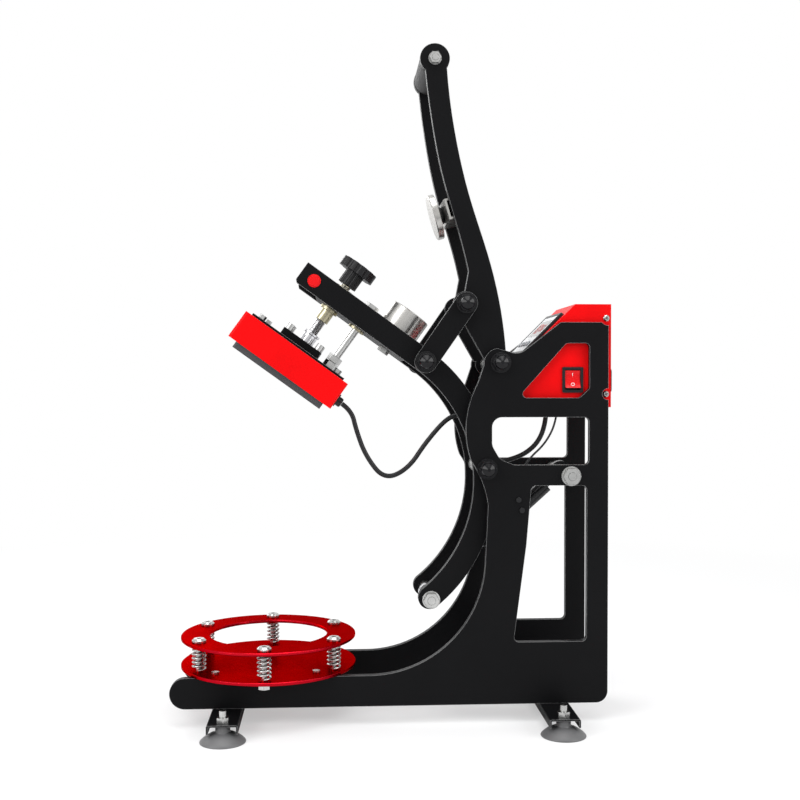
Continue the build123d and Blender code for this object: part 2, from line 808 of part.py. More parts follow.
with BuildPart() as keeper_bolt:
    upright(keeper_plane, (0, 0), 4, 2, bracket_high + 1)
    upright(keeper_plane, (0, 0), 8, bracket_high, bracket_high + 1.5)
    upright(keeper_plane, (0, 0), 6.5, bracket_high + 1.5, bracket_high + 7)
    fillet(keeper_bolt.faces().sort_by(Axis.Y)[-1:].edges(), 3)
keeper_bolt.part.label = "keeper_bolt"
export_step(keeper_bolt.part, "parts/keeper_bolt.step")


# Links between handle and arm
link_length = math.dist(link_top, link_foot)
link_angle = math.degrees(math.atan2(link_top[1] - link_foot[1], link_top[0] - link_foot[0]))
link_middle = ((link_top[0] + link_foot[0]) / 2, (link_top[1] + link_foot[1]) / 2)
with BuildSketch() as link_outline:
    with Locations(link_middle):
        SlotCenterToCenter(link_length, link_width, rotation=link_angle)
    with Locations(link_top, link_foot):
        Circle(pivot_radius + running_gap, mode=Mode.SUBTRACT)
with BuildPart() as link_plates:
    for side in (1, -1):
        plate(link_outline.sketch, side * frame_inner_x, side * frame_outer_x)
link_plates.part.label = "link_plates"
export_step(link_plates.part, "parts/link_plates.step")

with BuildPart() as link_foot_bolts:
    for side in (1, -1):
        round_bar(link_foot, pivot_radius, side * frame_inner_x, side * shaft_end)
        washer_and_cap_nut(link_foot, frame_outer_x, side)
        round_bar(link_foot, pivot_radius, side * frame_inner_x, side * shaft_end)
link_foot_bolts.part.label = "link_foot_bolts"
export_step(link_foot_bolts.part, "parts/link_foot_bolts.step")


# Gas strut between the tie bolt and the arm's tail
strut_run = (strut_foot[0] - strut_top[0], strut_foot[1] - strut_top[1])
strut_length = math.hypot(*strut_run)
strut_plane = Plane(
    origin=(0, strut_top[0], strut_top[1]),
    x_dir=(1, 0, 0),
    z_dir=(0, strut_run[0] / strut_length, strut_run[1] / strut_length),
)
strut_end = strut_cylinder_start + strut_cylinder_length
strut_bore = strut_cylinder_radius - 1.6
with BuildPart() as strut_cylinder:
    round_bar(strut_top, 14, -strut_eye_half, strut_eye_half)
    upright(strut_plane, (0, 0), 4, 10, strut_cylinder_start)
    upright(strut_plane, (0, 0), strut_cylinder_radius, strut_cylinder_start, strut_end)
    upright(
        strut_plane, (0, 0), strut_bore, strut_cylinder_start + 2, strut_end - 5, Mode.SUBTRACT
    )
    upright(
        strut_plane, (0, 0), strut_rod_radius + running_gap, strut_end - 6, strut_end, Mode.SUBTRACT
    )
    round_bar(
        strut_top, tie_tube_radius + running_gap, -strut_eye_half, strut_eye_half, Mode.SUBTRACT
    )
strut_cylinder.part.label = "strut_cylinder"
export_step(strut_cylinder.part, "parts/strut_cylinder.step")

strut_eye_bore = tie_radius + strut_foot_play
with BuildPart() as strut_rod:
    upright(strut_plane, (0, 0), strut_rod_radius, 92, strut_length - strut_eye_bore)
    upright(strut_plane, (0, 0), strut_bore - face_gap, 92, 98)
    round_bar(strut_foot, strut_eye_bore + 3.5, -strut_eye_half, strut_eye_half)
    round_bar(strut_foot, strut_eye_bore, -strut_eye_half, strut_eye_half, Mode.SUBTRACT)
strut_rod.part.label = "strut_rod"
export_step(strut_rod.part, "parts/strut_rod.step")


# Heated head, which hangs on the pressure screw and is kept square by the guide rod
rim_screws = [(head_centre + x, y) for x in (-55, 55) for y in (-55, 55)]
with BuildPart() as head_cover:
    slab(head_plane, (head_centre, 0), (cover_size, cover_size), cover_bottom, cover_top, 4)
    slab(
        head_plane, (head_centre, 0), (cover_size - 2 * cover_wall, cover_size - 2 * cover_wall),
        cover_bottom, cover_top - cover_wall, 2.5, Mode.SUBTRACT,
    )
    slab(
        head_plane, (head_centre, 0), (50, 50), cover_top - cover_wall, cover_top, 4, Mode.SUBTRACT
    )
    for place in rim_screws:
        upright(head_plane, place, 2.7, cover_top - cover_wall, cover_top, Mode.SUBTRACT)
head_cover.part.label = "head_cover"
export_step(head_cover.part, "parts/head_cover.step")

top_plate_top = cover_top + top_plate_thickness
block_top = top_plate_top + block_thickness
with BuildPart() as head_top_plate:
    slab(
        head_plane, (head_centre, 0), (top_plate_size, top_plate_size), cover_top, top_plate_top, 3
    )
    for place in rim_screws:
        upright(head_plane, place, 2.5 + running_gap, cover_top, top_plate_top, Mode.SUBTRACT)
head_top_plate.part.label = "head_top_plate"
export_step(head_top_plate.part, "parts/head_top_plate.step")

block_middle = -60.5
collar_high = 31.0
cap_bolt_places = [(block_middle + x, y) for x in (-22, 22) for y in (-20, 20)]
with BuildPart() as mounting_block:
    slab(
        head_plane, (block_middle, 0), (block_length, block_width), top_plate_top, block_top, 3
    )
    upright(head_plane, (screw_along, 0), 8.5, block_top, collar_high)
    upright(
        head_plane, (screw_along, 0), screw_radius + running_gap,
        top_plate_top, collar_high, Mode.SUBTRACT,
    )
mounting_block.part.label = "mounting_block"
export_step(mounting_block.part, "parts/mounting_block.step")

with BuildPart() as head_screws:
    for place in cap_bolt_places:
        upright(head_plane, place, 5, block_top, block_top + 8)
    for place in rim_screws:
        upright(head_plane, place, 2.5, cover_bottom + 24, top_plate_top)
        upright_hex(head_plane, place, 8, top_plate_top, top_plate_top + 5)
head_screws.part.label = "head_screws"
export_step(head_screws.part, "parts/head_screws.step")

hollow_drop = math.sqrt(platen_hollow_radius**2 - platen_hollow_edge**2)
with BuildPart() as heat_platen:
    slab(
        head_plane, (head_centre, 0), (platen_size, platen_size), platen_bottom, platen_top, 3
    )
    with Locations(head_plane.offset(platen_bottom - hollow_drop)):
        with Locations((head_centre, 0, 0)):
            Sphere(platen_hollow_radius, mode=Mode.SUBTRACT)
heat_platen.part.label = "heat_platen"
export_step(heat_platen.part, "parts/heat_platen.step")

with BuildPart() as insulation_board:
    slab(
        head_plane, (head_centre, 0), (platen_size + 8, platen_size + 8),
        platen_top, cover_top - cover_wall, 2,
    )
    for place in rim_screws:
        upright(head_plane, place, 3, platen_top, cover_top, Mode.SUBTRACT)
insulation_board.part.label = "insulation_board"
export_step(insulation_board.part, "parts/insulation_board.step")

rod_nut_gap = 0.2
with BuildPart() as guide_rod:
    upright(head_plane, (rod_along, 0), rod_radius, top_plate_top, beam_high + rod_nut_gap + 7)
    upright_hex(head_plane, (rod_along, 0), 16, top_plate_top, top_plate_top + 8)
    upright_hex(head_plane, (rod_along, 0), 16, top_plate_top + 8.6, top_plate_top + 16.6)
    nut_seat = beam_high + rod_nut_gap
    upright_hex(head_plane, (rod_along, 0), 16, nut_seat, nut_seat + 7)
guide_rod.part.label = "guide_rod"
export_step(guide_rod.part, "parts/guide_rod.step")

cover_back = head_centre + cover_size / 2
gland_height = -18.9
gland_x = 18.0
gland_length = 8.0
gland_side = Plane(
    origin=(gland_x, *beam_point(cover_back, gland_height)), x_dir=(1, 0, 0), z_dir=e_dir
)
with BuildPart() as cable_gland:
    upright(gland_side, (0, 0), 8.5, 0, 2)
    upright(gland_side, (0, 0), 6, 2, gland_length)
    fillet(cable_gland.faces().sort_by(Axis.Y)[-1:].edges(), 2)
    upright(
        gland_side, (0, 0), head_cable_radius + running_gap, 2, gland_length, Mode.SUBTRACT
    )
cable_gland.part.label = "cable_gland"
export_step(cable_gland.part, "parts/cable_gland.step")


# Pressure screw and its knob
knob_hub_top = knob_bottom + knob_hub_height
knob_top = knob_hub_top + knob_disc_height
with BuildPart() as pressure_screw:
    upright(head_plane, (screw_along, 0), screw_radius, top_plate_top + 0.5, knob_hub_top)
pressure_screw.part.label = "pressure_screw"
export_step(pressure_screw.part, "parts/pressure_screw.step")

with BuildPart() as pressure_knob:
    upright(head_plane, (screw_along, 0), 12.5, knob_bottom, knob_hub_top)
    upright(head_plane, (screw_along, 0), knob_radius, knob_hub_top, knob_top)
    lobe_plane = Plane(
        origin=head_plane.from_local_coords((screw_along, 0, 0)), x_dir=e_dir, z_dir=n_dir
    )
    with BuildSketch(lobe_plane.offset(knob_hub_top)) as flutes:
        with PolarLocations(knob_radius + 2.4, knob_lobes):
            Circle(4.2)
    extrude(flutes.sketch, amount=knob_disc_height, mode=Mode.SUBTRACT)
    with BuildSketch(lobe_plane.offset(knob_bottom)) as ribs:
        with PolarLocations(13.4, 18):
            Circle(1.5)
    extrude(ribs.sketch, amount=knob_hub_height, mode=Mode.SUBTRACT)
    upright(head_plane, (screw_along, 0), screw_radius + 0.02, knob_bottom, knob_hub_top, Mode.SUBTRACT)
pressure_knob.part.label = "pressure_knob"
export_step(pressure_knob.part, "parts/pressure_knob.step")


# Control box: a folded shell, a rear cover, and what is in and on it
slope_bottom = box_top - (box_top_front - box_front)
box_profile = [
    (box_front, box_bottom),
    (box_back - 1.5, box_bottom),
    (box_back - 1.5, box_top),
    (box_top_front, box_top),
    (box_front, slope_bottom),
]
slope_middle = ((box_front + box_top_front) / 2, (slope_bottom + box_top) / 2)
slope_plane = Plane(
    origin=(0, slope_middle[0], slope_middle[1]),
    x_dir=(1, 0, 0),
    z_dir=(0, -math.sqrt(0.5), math.sqrt(0.5)),
)
opening_size = (controller_width - 6, controller_depth - 6)
box_screw_places = ((258, 488), (257.5, 396))
inlet_place = (25.0, -30.0)
cable_exit_y = 192.5
wire_exit_y = 199.0
switch_x = 53.0
with BuildPart() as control_box_shell:
    with BuildSketch(Plane.YZ.offset(-box_half_width)) as outside:
        with BuildLine():
            Polyline(*box_profile, close=True)
        make_face()
    extrude(outside.sketch, amount=2 * box_half_width)
    with BuildSketch(Plane.YZ.offset(-box_half_width + box_wall)) as inside:
        with BuildLine():
            Polyline(
                (box_front + box_wall, box_bottom + box_wall),
                (box_back, box_bottom + box_wall),
                (box_back, box_top - box_wall),
                (box_top_front + box_wall * 0.41, box_top - box_wall),
                (box_front + box_wall, slope_bottom - box_wall * 0.41),
                close=True,
            )
        make_face()
    extrude(inside.sketch, amount=2 * (box_half_width - box_wall), mode=Mode.SUBTRACT)
    slab(slope_plane, (0, 0), opening_size, -4, 2, mode=Mode.SUBTRACT)
    with BuildSketch(Plane.YZ.offset(box_half_width - 4)) as rocker_hole:
        with Locations(rocker_centre):
            Rectangle(22, 27)
    extrude(rocker_hole.sketch, amount=6, mode=Mode.SUBTRACT)
    for place, size in (
        ((gland_x, cable_exit_y), head_cable_radius),
        ((switch_x, wire_exit_y), switch_wire_radius),
    ):
        upright(
            Plane.XY, place, size + face_gap, box_bottom - 1, box_bottom + box_wall + 1, Mode.SUBTRACT
        )
    for centre in box_screw_places:
        round_bar(centre, 2, -box_half_width, box_half_width, Mode.SUBTRACT)
control_box_shell.part.label = "control_box_shell"
export_step(control_box_shell.part, "parts/control_box_shell.step")

cover_inside = box_half_width - box_wall - thin_gap
with BuildPart() as control_box_cover:
    with BuildSketch(Plane.XZ.offset(-(box_back - 1.5))) as back_panel:
        with Locations((0, (box_top + box_bottom) / 2)):
            Rectangle(2 * box_half_width, box_top - box_bottom)
            with Locations(inlet_place):
                Rectangle(27.2, 20.2, mode=Mode.SUBTRACT)
    extrude(back_panel.sketch, amount=-1.5)
    for side in (1, -1):
        with BuildSketch(Plane.YZ.offset(side * cover_inside)) as flange:
            with Locations((box_back - 10, (box_top + box_bottom) / 2)):
                Rectangle(17, box_top - box_bottom - 8)
            with Locations(*box_screw_places):
                Circle(2, mode=Mode.SUBTRACT)
        extrude(flange.sketch, amount=-side * box_wall)
control_box_cover.part.label = "control_box_cover"
export_step(control_box_cover.part, "parts/control_box_cover.step")

with BuildPart() as box_screws:
    for centre in box_screw_places:
        for side in (1, -1):
            near = side * (box_half_width - box_wall * 2 - 3)
            far = side * (box_half_width + 2.4)
            round_bar(centre, 2 - running_gap, near, side * box_half_width)
            round_bar(centre, 3.8, side * box_half_width, far)
    chamfer(
        box_screws.edges().filter_by(GeomType.CIRCLE).group_by(Axis.X)[-1]
        + box_screws.edges().filter_by(GeomType.CIRCLE).group_by(Axis.X)[0],
        1.2,
    )
box_screws.part.label = "box_screws"
export_step(box_screws.part, "parts/box_screws.step")

bezel_stand = 4.0
with BuildPart() as controller_bezel:
    slab(slope_plane, (0, 0), (controller_width, controller_depth), 0, bezel_stand, 3)
    chamfer(controller_bezel.faces().sort_by(Axis((0, 0, 0), slope_plane.z_dir))[-1:].edges(), 1)
    slab(
        slope_plane, (0, 0), (controller_width - 10, controller_depth - 10),
        bezel_stand - 1.5, bezel_stand, 2, Mode.SUBTRACT,
    )
    slab(slope_plane, (0, 0), (opening_size[0] - 1, opening_size[1] - 1), -30, 0)
controller_bezel.part.label = "controller_bezel"
export_step(controller_bezel.part, "parts/controller_bezel.step")

button_places = [(x, -18) for x in (-27, -9, 9, 27)]
button_size = (11.0, 7.0)
face_low = bezel_stand - 1.5
face_high = face_low + 1.0
with BuildPart() as controller_faceplate:
    slab(
        slope_plane, (0, 0), (controller_width - 10.4, controller_depth - 10.4),
        face_low, face_high, 1.8,
    )
    slab(slope_plane, (0, 10), (66, 28), face_high - 0.5, face_high, mode=Mode.SUBTRACT)
    for place in button_places:
        slab(
            slope_plane, place, (button_size[0] + 0.6, button_size[1] + 0.6),
            face_low, face_high, 1.8, Mode.SUBTRACT,
        )
controller_faceplate.part.label = "controller_faceplate"
export_step(controller_faceplate.part, "parts/controller_faceplate.step")

with BuildPart() as controller_window:
    slab(slope_plane, (0, 10), (65.8, 27.8), face_high - 0.5, face_high + 0.2)
controller_window.part.label = "controller_window"
export_step(controller_window.part, "parts/controller_window.step")

button_travel = 1.0
button_names = ("set_button", "down_button", "up_button", "reset_button")
for name, place in zip(button_names, button_places):
    with BuildPart() as controller_button:
        slab(slope_plane, place, button_size, face_low + button_travel + 0.05, face_high + 1.6, 1.5)
        top_edges = controller_button.faces().sort_by(Axis((0, 0, 0), slope_plane.z_dir))[-1:].edges()
        fillet(top_edges, 0.4)
    controller_button.part.label = name
    export_step(controller_button.part, f"parts/{name}.step")

rocker_side = Plane(
    origin=(box_half_width, *rocker_centre), x_dir=(0, 1, 0), z_dir=(1, 0, 0)
)
rocker_opening = (19.0, 24.5)
with BuildPart() as rocker_bezel:
    slab(rocker_side, (0, 0), rocker_bezel_size, 0, 2, 1.5)
    slab(rocker_side, (0, 0), (21.6, 26.6), -20, 0, 0.5)
    slab(rocker_side, (0, 0), rocker_opening, -10, 2, mode=Mode.SUBTRACT)
rocker_bezel.part.label = "rocker_bezel"
export_step(rocker_bezel.part, "parts/rocker_bezel.step")

rocker_throw = 10.0
rocker_axis_x = box_half_width - 2.0
rocker_radius = 15.0
rocker_half = rocker_opening[1] / 2 - 1.5
rocker_hub_radius = 4.2
with BuildPart() as rocker_switch:
    with BuildSketch(Plane.XZ.offset(-(rocker_centre[0] - rocker_opening[0] / 2 + 0.3))) as section:
        with Locations((rocker_axis_x, rocker_centre[1])):
            Circle(rocker_hub_radius)
        with Locations((rocker_axis_x + rocker_hub_radius, rocker_centre[1])):
            Rectangle(2 * rocker_hub_radius, 2 * rocker_hub_radius, mode=Mode.SUBTRACT)
        with BuildLine():
            low_edge = turned((5.0, -rocker_half), (0, 0), rocker_throw)
            high_edge = turned((5.0, rocker_half), (0, 0), rocker_throw)
            waist = turned((2.2, 0), (0, 0), rocker_throw)
            base_low = turned((-3.0, -7.5), (0, 0), rocker_throw)
            base_high = turned((-3.0, 7.5), (0, 0), rocker_throw)
            places = [
                (rocker_axis_x + point[0], rocker_centre[1] + point[1])
                for point in (low_edge, waist, high_edge, base_high, base_low)
            ]
            ThreePointArc(*places[:3])
            Line(places[2], places[3])
            Line(places[3], places[4])
            Line(places[4], places[0])
        make_face()
    extrude(section.sketch, amount=-(rocker_opening[0] - 0.6))
rocker_switch.part.label = "rocker_switch"
export_step(rocker_switch.part, "parts/rocker_switch.step")

inlet_side = Plane(
    origin=(inlet_place[0], box_back, (box_top + box_bottom) / 2 + inlet_place[1]),
    x_dir=(-1, 0, 0),
    z_dir=(0, 1, 0),
)
with BuildPart() as power_inlet:
    slab(inlet_side, (0, 0), (50, 28), 0, 3, 4)
    slab(inlet_side, (0, 0), (27, 20), -22, 0)
    slab(inlet_side, (0, 0), (23, 16), -14, 3, 2, Mode.SUBTRACT)
power_inlet.part.label = "power_inlet"
export_step(power_inlet.part, "parts/power_inlet.step")

with BuildPart() as box_electronics:
    with Locations((0, 218, box_bottom + 6)):
        Box(80, 60, 1.6)
    with Locations((-20, 218, box_bottom + 6.8 + 12)):
        Box(34, 28, 24)
    with Locations((20, 211, box_bottom + 6.8 + 9)):
        Box(26, 36, 18)
    for x in (-36, 36):
        for y in (193, 243):
            upright(Plane.XY, (x, y), 3, box_bottom + box_wall, box_bottom + 6)
box_electronics.part.label = "box_electronics"
export_step(box_electronics.part, "parts/box_electronics.step")

with BuildPart() as timer_switch:
    with BuildSketch(Plane.YZ.offset(frame_inner_x - 9)) as switch_body:
        with Locations((152, 262.5)):
            Rectangle(14, 26, rotation=18)
    extrude(switch_body.sketch, amount=9)
    for centre in ((154, 256.2), (149.9, 268.8)):
        round_bar(centre, 2 - running_gap, frame_inner_x - 1, frame_outer_x)
        round_bar(centre, 3.2, frame_outer_x, frame_outer_x + 2)
timer_switch.part.label = "timer_switch"
export_step(timer_switch.part, "parts/timer_switch.step")


# Cables: straight runs joined by arcs as large as the runs allow
gland_exit = (gland_x, *beam_point(cover_back + gland_length + face_gap, gland_height))
head_cable_route = [
    gland_exit,
    (18, -50.1, 374.8),
    (18, -44.7, 351.4),
    (18, -33.1, 319.4),
    (18, -10, 289.5),
    (18, 20, 303),
    (18, 43, 338),
    (18, 72, 370),
    (18, 93, 368),
    (18, 104, 349),
    (18, 109, 333),
    (18, 112, 320),
]
frame_cable_route = [
    (gland_x, cable_exit_y, box_bottom),
    (18, 192, 358),
    (18, 180, 331),
    (18, 153, 314),
    (18, 130, 311),
]
switch_wire_route = [
    (switch_x, wire_exit_y, box_bottom),
    (53, 198, 362),
    (53, 185, 336),
    (53, 164, 317),
    (53, 153, 297),
    (53, 150, 277),
]


def arc_radii(route):
    """The largest arc at each corner that leaves a tenth of the shorter run straight."""
    corners = [Vector(*point) for point in route]
    radii = []
    for before, corner, after in zip(corners, corners[1:], corners[2:]):
        half_turn = math.radians((corner - before).get_angle(after - corner)) / 2
        shorter = min((corner - before).length, (after - corner).length)
        radii.append(0.45 * shorter / math.tan(half_turn))
    return radii


for name, route, radius in (
    ("head_cable", head_cable_route, head_cable_radius),
    ("frame_cable", frame_cable_route, head_cable_radius),
    ("switch_wire", switch_wire_route, switch_wire_radius),
):
    radii = arc_radii(route)
    with BuildLine() as cable_line:
        FilletPolyline(*route, radius=radii)
    with BuildPart() as cable:
        start = cable_line.wire() @ 0
        heading = cable_line.wire() % 0
        with BuildSketch(Plane(origin=start, z_dir=heading)) as cable_section:
            Circle(radius)
        sweep(cable_section.sketch, path=cable_line.wire())
    cable.part.label = name
    export_step(cable.part, f"parts/{name}.step")
    path_length = cable_line.wire().length
    expected = math.pi * radius**2 * path_length
    print(
        f"{name}: length {path_length:.0f}, tightest arc {min(radii):.1f}, "
        f"volume {cable.part.volume / expected:.3f} of section times length"
    )
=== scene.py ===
"""Looks for a ball heat press: camera, light, floor, materials and fine detail.

Everything is in metres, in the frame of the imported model: +Z up, -Y the front, +X the side
that the picture shows.
"""

import json
import math

import bmesh
import bpy
from mathutils import Matrix, Vector


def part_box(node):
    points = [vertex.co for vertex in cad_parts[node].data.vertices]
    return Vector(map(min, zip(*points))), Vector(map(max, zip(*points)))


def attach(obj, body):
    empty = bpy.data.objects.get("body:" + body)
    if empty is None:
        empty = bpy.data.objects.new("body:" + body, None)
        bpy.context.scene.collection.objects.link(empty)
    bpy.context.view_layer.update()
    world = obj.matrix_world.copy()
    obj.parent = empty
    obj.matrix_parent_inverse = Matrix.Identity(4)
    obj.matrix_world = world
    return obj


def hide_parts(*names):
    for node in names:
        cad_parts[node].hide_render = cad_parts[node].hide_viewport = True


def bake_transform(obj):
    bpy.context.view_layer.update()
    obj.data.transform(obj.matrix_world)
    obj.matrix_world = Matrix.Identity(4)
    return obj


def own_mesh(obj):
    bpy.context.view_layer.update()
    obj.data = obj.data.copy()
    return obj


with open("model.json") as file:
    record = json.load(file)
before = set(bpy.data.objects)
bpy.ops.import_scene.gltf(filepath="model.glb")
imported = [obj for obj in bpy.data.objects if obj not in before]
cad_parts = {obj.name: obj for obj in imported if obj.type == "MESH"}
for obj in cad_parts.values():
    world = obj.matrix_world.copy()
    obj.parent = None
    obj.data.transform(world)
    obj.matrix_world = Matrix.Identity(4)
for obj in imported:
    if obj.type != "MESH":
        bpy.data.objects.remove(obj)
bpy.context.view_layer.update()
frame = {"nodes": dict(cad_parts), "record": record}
nodes = frame["nodes"]
record = frame["record"]
scene = bpy.context.scene
MM = 0.001


# Camera: a 50 mm lens on the press's right side, turned a little to the rear and down
def add_camera():
    """The camera, placed from the vanishing point of the press's cross axis."""
    lens_data = bpy.data.cameras.new("camera")
    lens_data.lens = 50.0
    lens_data.sensor_width = 36.0
    lens_data.clip_end = 50.0
    camera = bpy.data.objects.new("camera", lens_data)
    scene.collection.objects.link(camera)
    picture_size = 800.0
    focal = lens_data.lens / lens_data.sensor_width * picture_size
    vanishing_x = 335.0
    vanishing_y = 380.0
    middle = picture_size / 2
    forward = Vector((-1.0, (middle - vanishing_x) / focal, -(middle - vanishing_y) / focal))
    camera.location = (1.391, -0.0707, 0.413)
    camera.rotation_euler = forward.to_track_quat("-Z", "Y").to_euler()
    scene.camera = camera


add_camera()


# Cables
def route_curve(name, route, radius):
    """A smooth cable whose control points are the route's, given in millimetres."""
    data = bpy.data.curves.new(name, "CURVE")
    data.dimensions = "3D"
    data.resolution_u = 12
    data.bevel_depth = radius
    data.bevel_resolution = 5
    data.use_fill_caps = True
    spline = data.splines.new("NURBS")
    spline.points.add(len(route) - 1)
    for point, place in zip(spline.points, route):
        point.co = (place[0] * MM, place[1] * MM, place[2] * MM, 1.0)
    spline.order_u = 3
    spline.use_endpoint_u = True
    cable = bpy.data.objects.new(name, data)
    scene.collection.objects.link(cable)
    return cable


def line_of(cable):
    """The points along a cable's middle line."""
    depth = cable.data.bevel_depth
    caps = cable.data.use_fill_caps
    cable.data.bevel_depth = 0.0
    cable.data.use_fill_caps = False
    bpy.context.view_layer.update()
    graph = bpy.context.evaluated_depsgraph_get()
    mesh = bpy.data.meshes.new_from_object(cable.evaluated_get(graph))
    points = [vertex.co.copy() for vertex in mesh.vertices]
    bpy.data.meshes.remove(mesh)
    cable.data.bevel_depth = depth
    cable.data.use_fill_caps = caps
    bpy.context.view_layer.update()
    return points


def as_mesh(piece):
    """A curve turned into a mesh object of the same name."""
    bpy.context.view_layer.update()
    graph = bpy.context.evaluated_depsgraph_get()
    mesh = bpy.data.meshes.new_from_object(piece.evaluated_get(graph))
    name = piece.name
    bpy.data.objects.remove(piece)
    solid = bpy.data.objects.new(name, mesh)
    scene.collection.objects.link(solid)
    for polygon in mesh.polygons:
        polygon.use_smooth = True
    return solid


tilt = math.radians(35.8)
square_to_beam = Vector((0.0, math.sin(tilt), math.cos(tilt)))
head_cable_route = [
    (18, -62.476, 383.797),
    (18, -50.1, 374.8),
    (18, -44.7, 351.4),
    (18, -33.1, 319.4),
    (18, -10, 289.5),
    (18, 20, 303),
    (18, 43, 338),
    (18, 72, 370),
    (18, 93, 368),
    (18, 104, 349),
    (18, 109, 333),
    (18, 112, 320),
]
frame_cable_route = [
    (18, 192.5, 380),
    (18, 192, 358),
    (18, 180, 331),
    (18, 153, 314),
    (18, 130, 311),
]
switch_wire_route = [
    (53, 199, 380),
    (53, 198, 362),
    (53, 185, 336),
    (53, 164, 317),
    (53, 153, 297),
    (53, 150, 277),
]
cable_radius = 3.0 * MM
wire_radius = 1.25 * MM

head_cable = route_curve("head_cable_run", head_cable_route, cable_radius)
head_line = line_of(head_cable)
head_cable = as_mesh(head_cable)
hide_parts("head_cable")
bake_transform(head_cable)
cables = [head_cable]
for name, node, route, radius in (
    ("frame_cable_run", "frame_cable", frame_cable_route, cable_radius),
    ("switch_wire_run", "switch_wire", switch_wire_route, wire_radius),
):
    cable = route_curve(name, route, radius)
    line = line_of(cable)
    cable = as_mesh(cable)
    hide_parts(node)
    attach(cable, "frame")
    cables.append(cable)


# Materials
def start_material(name):
    """An empty node material with a surface shader; returns the material, its nodes and links."""
    material = bpy.data.materials.new(name)
    material.use_nodes = True
    tree = material.node_tree
    tree.nodes.clear()
    output = tree.nodes.new("ShaderNodeOutputMaterial")
    shader = tree.nodes.new("ShaderNodeBsdfPrincipled")
    tree.links.new(shader.outputs["BSDF"], output.inputs["Surface"])
    return material, tree, shader


def noise(tree, scale, detail=3.0):
    """Noise in the object's own metres."""
    place = tree.nodes.new("ShaderNodeTexCoord")
    texture = tree.nodes.new("ShaderNodeTexNoise")
    texture.inputs["Scale"].default_value = scale
    texture.inputs["Detail"].default_value = detail
    tree.links.new(place.outputs["Object"], texture.inputs["Vector"])
    return texture.outputs["Fac"]


def spread(tree, value, low, high):
    """A 0 to 1 value stretched to run from low to high."""
    node = tree.nodes.new("ShaderNodeMapRange")
    node.inputs["From Min"].default_value = 0.25
    node.inputs["From Max"].default_value = 0.75
    node.inputs["To Min"].default_value = low
    node.inputs["To Max"].default_value = high
    tree.links.new(value, node.inputs["Value"])
    return node.outputs["Result"]


def two_tone(tree, value, dark, light):
    """A colour that runs between two tones with a value."""
    node = tree.nodes.new("ShaderNodeMix")
    node.data_type = "RGBA"
    node.inputs["A"].default_value = (*dark, 1)
    node.inputs["B"].default_value = (*light, 1)
    tree.links.new(value, node.inputs["Factor"])
    return node.outputs["Result"]


def relief(tree, shader, height, depth, rounding):
    """Surface relief over edges that are rounded by a small radius."""
    edge = tree.nodes.new("ShaderNodeBevel")
    edge.samples = 4
    edge.inputs["Radius"].default_value = rounding
    bump = tree.nodes.new("ShaderNodeBump")
    bump.inputs["Strength"].default_value = 1.0
    bump.inputs["Distance"].default_value = depth
    tree.links.new(height, bump.inputs["Height"])
    tree.links.new(edge.outputs["Normal"], bump.inputs["Normal"])
    tree.links.new(bump.outputs["Normal"], shader.inputs["Normal"])


def painted_light_edge_mask(tree, rounding):
    """A value that rises from 0 on flats to 1 on sharp outer and inner edges, where highlights and
    shade are painted into the colour.
    """
    edge = tree.nodes.new("ShaderNodeBevel")
    edge.samples = 6
    edge.inputs["Radius"].default_value = rounding
    place = tree.nodes.new("ShaderNodeNewGeometry")
    match = tree.nodes.new("ShaderNodeVectorMath")
    match.operation = "DOT_PRODUCT"
    tree.links.new(edge.outputs["Normal"], match.inputs[0])
    tree.links.new(place.outputs["Normal"], match.inputs[1])
    node = tree.nodes.new("ShaderNodeMapRange")
    node.inputs["From Min"].default_value = 0.985
    node.inputs["From Max"].default_value = 0.86
    tree.links.new(match.outputs["Value"], node.inputs["Value"])
    return node.outputs["Result"]


def blend_colours(tree, value, under, over):
    """One colour output laid over another by a value."""
    node = tree.nodes.new("ShaderNodeMix")
    node.data_type = "RGBA"
    tree.links.new(value, node.inputs["Factor"])
    tree.links.new(under, node.inputs["A"])
    node.inputs["B"].default_value = (*over, 1)
    return node.outputs["Result"]


def scaled(colour, factor):
    """A colour made darker or lighter."""
    return tuple(min(1.0, part * factor) for part in colour)


def coating(
    name, colour, grain, depth, rough, rounding=0.6 * MM, coat=0.0, specular=0.5, edge=None
):
    """Paint, powder coat, plastic or rubber: fine grain, uneven gloss and, where an edge colour is
    given, a painted highlight along the edges.
    """
    material, tree, shader = start_material(name)
    fine = noise(tree, grain, 4.0)
    broad = noise(tree, 18.0, 3.0)
    colour_value = spread(tree, broad, 0.0, 1.0)
    tone = two_tone(tree, colour_value, scaled(colour, 0.88), scaled(colour, 1.1))
    # An edge colour is laid along sharp edges as a painted highlight.
    if edge:
        tone = blend_colours(tree, painted_light_edge_mask(tree, rounding), tone, edge)
    tree.links.new(tone, shader.inputs["Base Color"])
    tree.links.new(spread(tree, fine, rough - 0.06, rough + 0.06), shader.inputs["Roughness"])
    shader.inputs["Coat Weight"].default_value = coat
    shader.inputs["Coat Roughness"].default_value = 0.06
    shader.inputs["Specular IOR Level"].default_value = specular
    relief(tree, shader, fine, depth, rounding)
    return material


